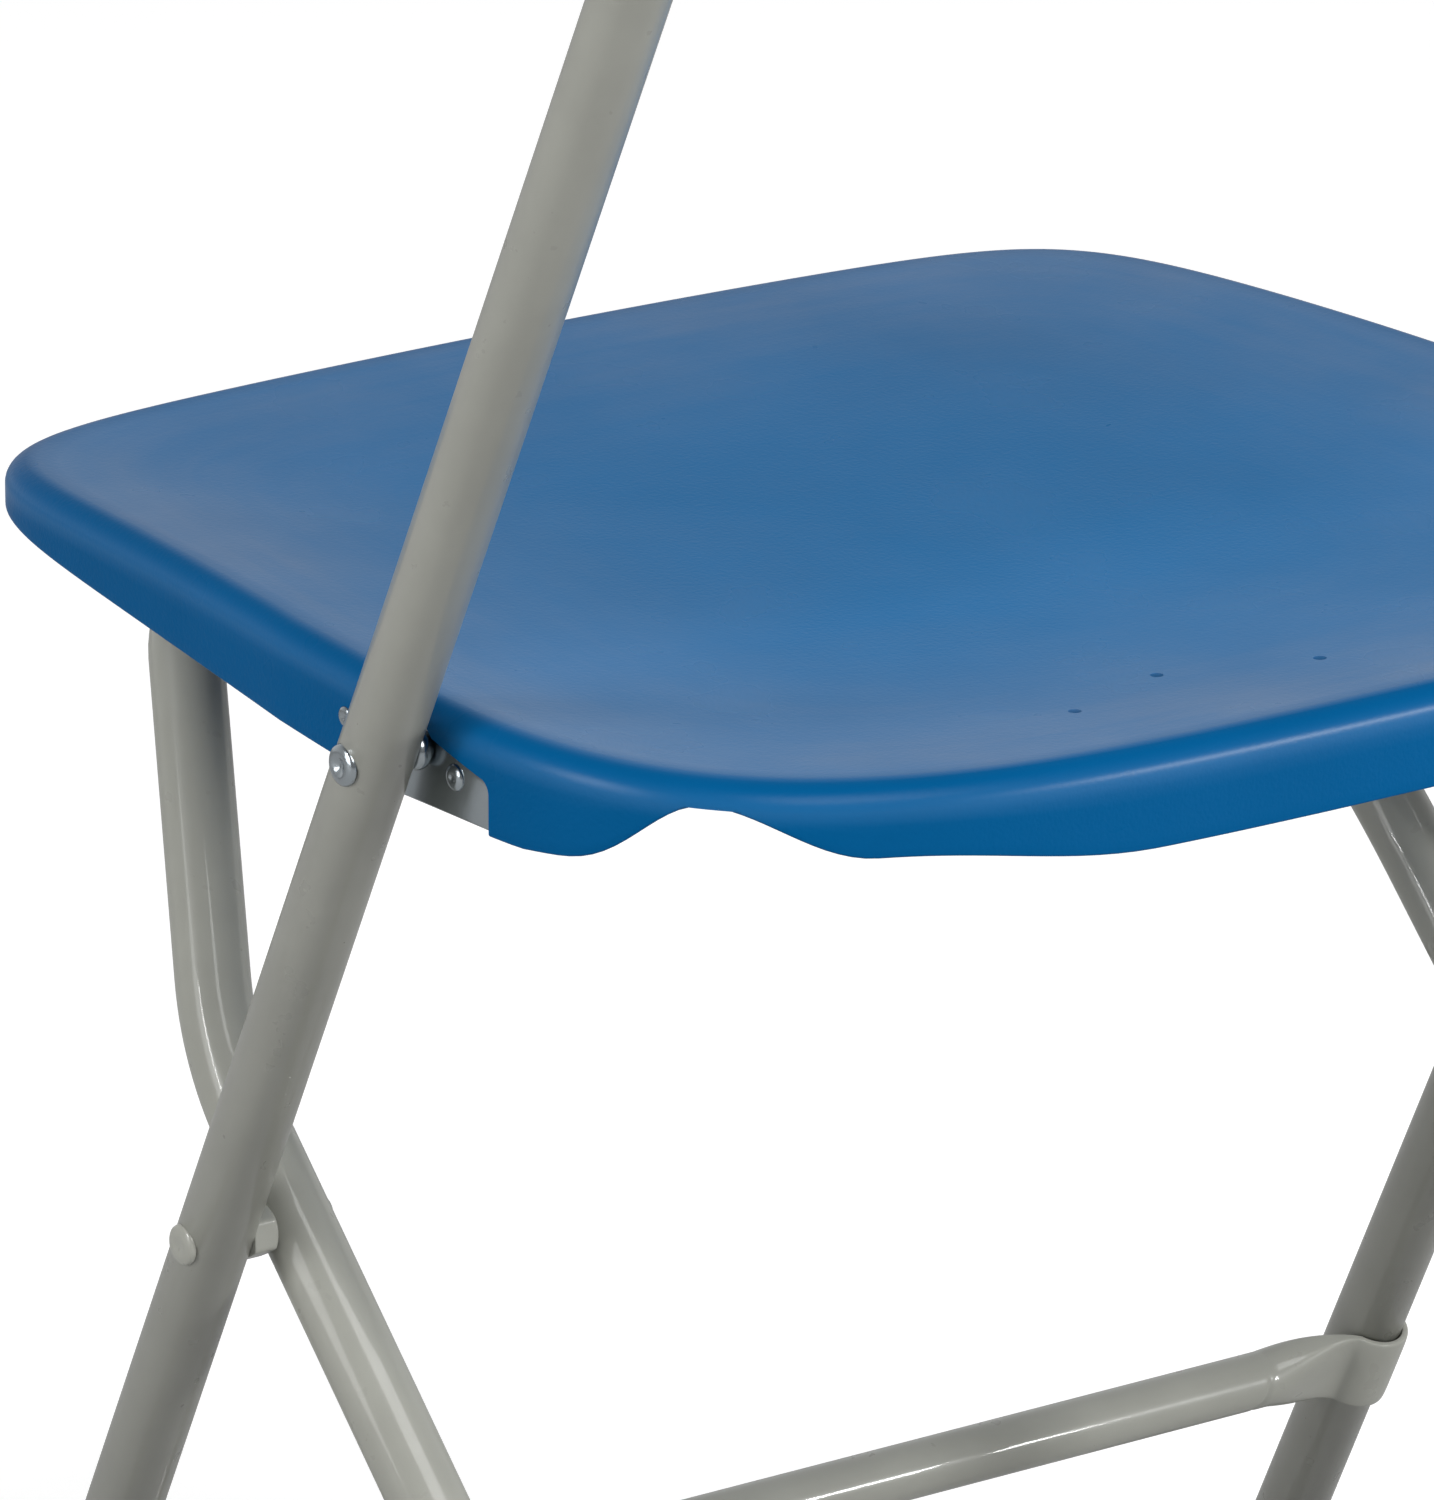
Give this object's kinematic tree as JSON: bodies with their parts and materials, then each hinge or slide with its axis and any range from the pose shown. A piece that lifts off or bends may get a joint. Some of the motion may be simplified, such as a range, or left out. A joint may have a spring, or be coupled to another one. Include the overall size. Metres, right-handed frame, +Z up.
{
  "type": "folding chair",
  "caption": "Plastic folding chair: moulded blue seat and curved back on a crossed frame of round grey tube that folds flat, with cross tubes, riveted brackets and foot caps.",
  "frame": {"origin": "centre of the footprint of the whole chair, on the floor under the feet", "axes": "+Z up, -Y the way the sitter faces, +X the sitter's left"},
  "size_m": [0.465, 0.4516, 0.8021],
  "materials": {
    "paint": "semi-gloss warm grey powder coat",
    "plastic": "fine grained moulded polypropylene, satin",
    "zinc": "bright zinc plate",
    "foot": "matt grey polyethylene"
  },
  "bodies": {
    "frame": {"main_frame": "paint", "front_crossbar": "paint", "leg_pivot_rivet_left": "paint", "leg_pivot_rivet_right": "paint", "leg_pivot_spacer_left": "paint", "leg_pivot_spacer_right": "paint", "seat_pivot_rivet_left": "zinc", "seat_pivot_rivet_right": "zinc", "seat_pivot_washer_left": "zinc", "seat_pivot_washer_right": "zinc", "back_panel": "plastic", "back_rivets": "zinc", "front_foot_left": "foot", "front_foot_right": "foot"},
    "rear_legs": {"rear_frame": "paint", "rear_crossbar": "paint", "rear_foot_left": "foot", "rear_foot_right": "foot"},
    "seat": {"seat_shell": "plastic", "seat_bracket_left": "zinc", "seat_bracket_right": "zinc", "bracket_rivets": "zinc", "seat_hook_left": "zinc", "seat_hook_right": "zinc", "hook_screws": "zinc"}
  },
  "joints": [
    {"name": "rear_leg_fold", "type": "hinge", "parent": "frame", "child": "rear_legs", "pos_m": [0, -0.05302, 0.264], "axis": [-1, 0, 0], "range_deg": [0, 57]},
    {"name": "seat_fold", "type": "hinge", "parent": "frame", "child": "seat", "pos_m": [0, 0.02142, 0.412], "axis": [-1, 0, 0], "range_deg": [0, 113.26]}
  ],
  "couplings": [
    {"joint": "seat_fold", "follows": "rear_leg_fold", "ratio": 1.987}
  ]
}
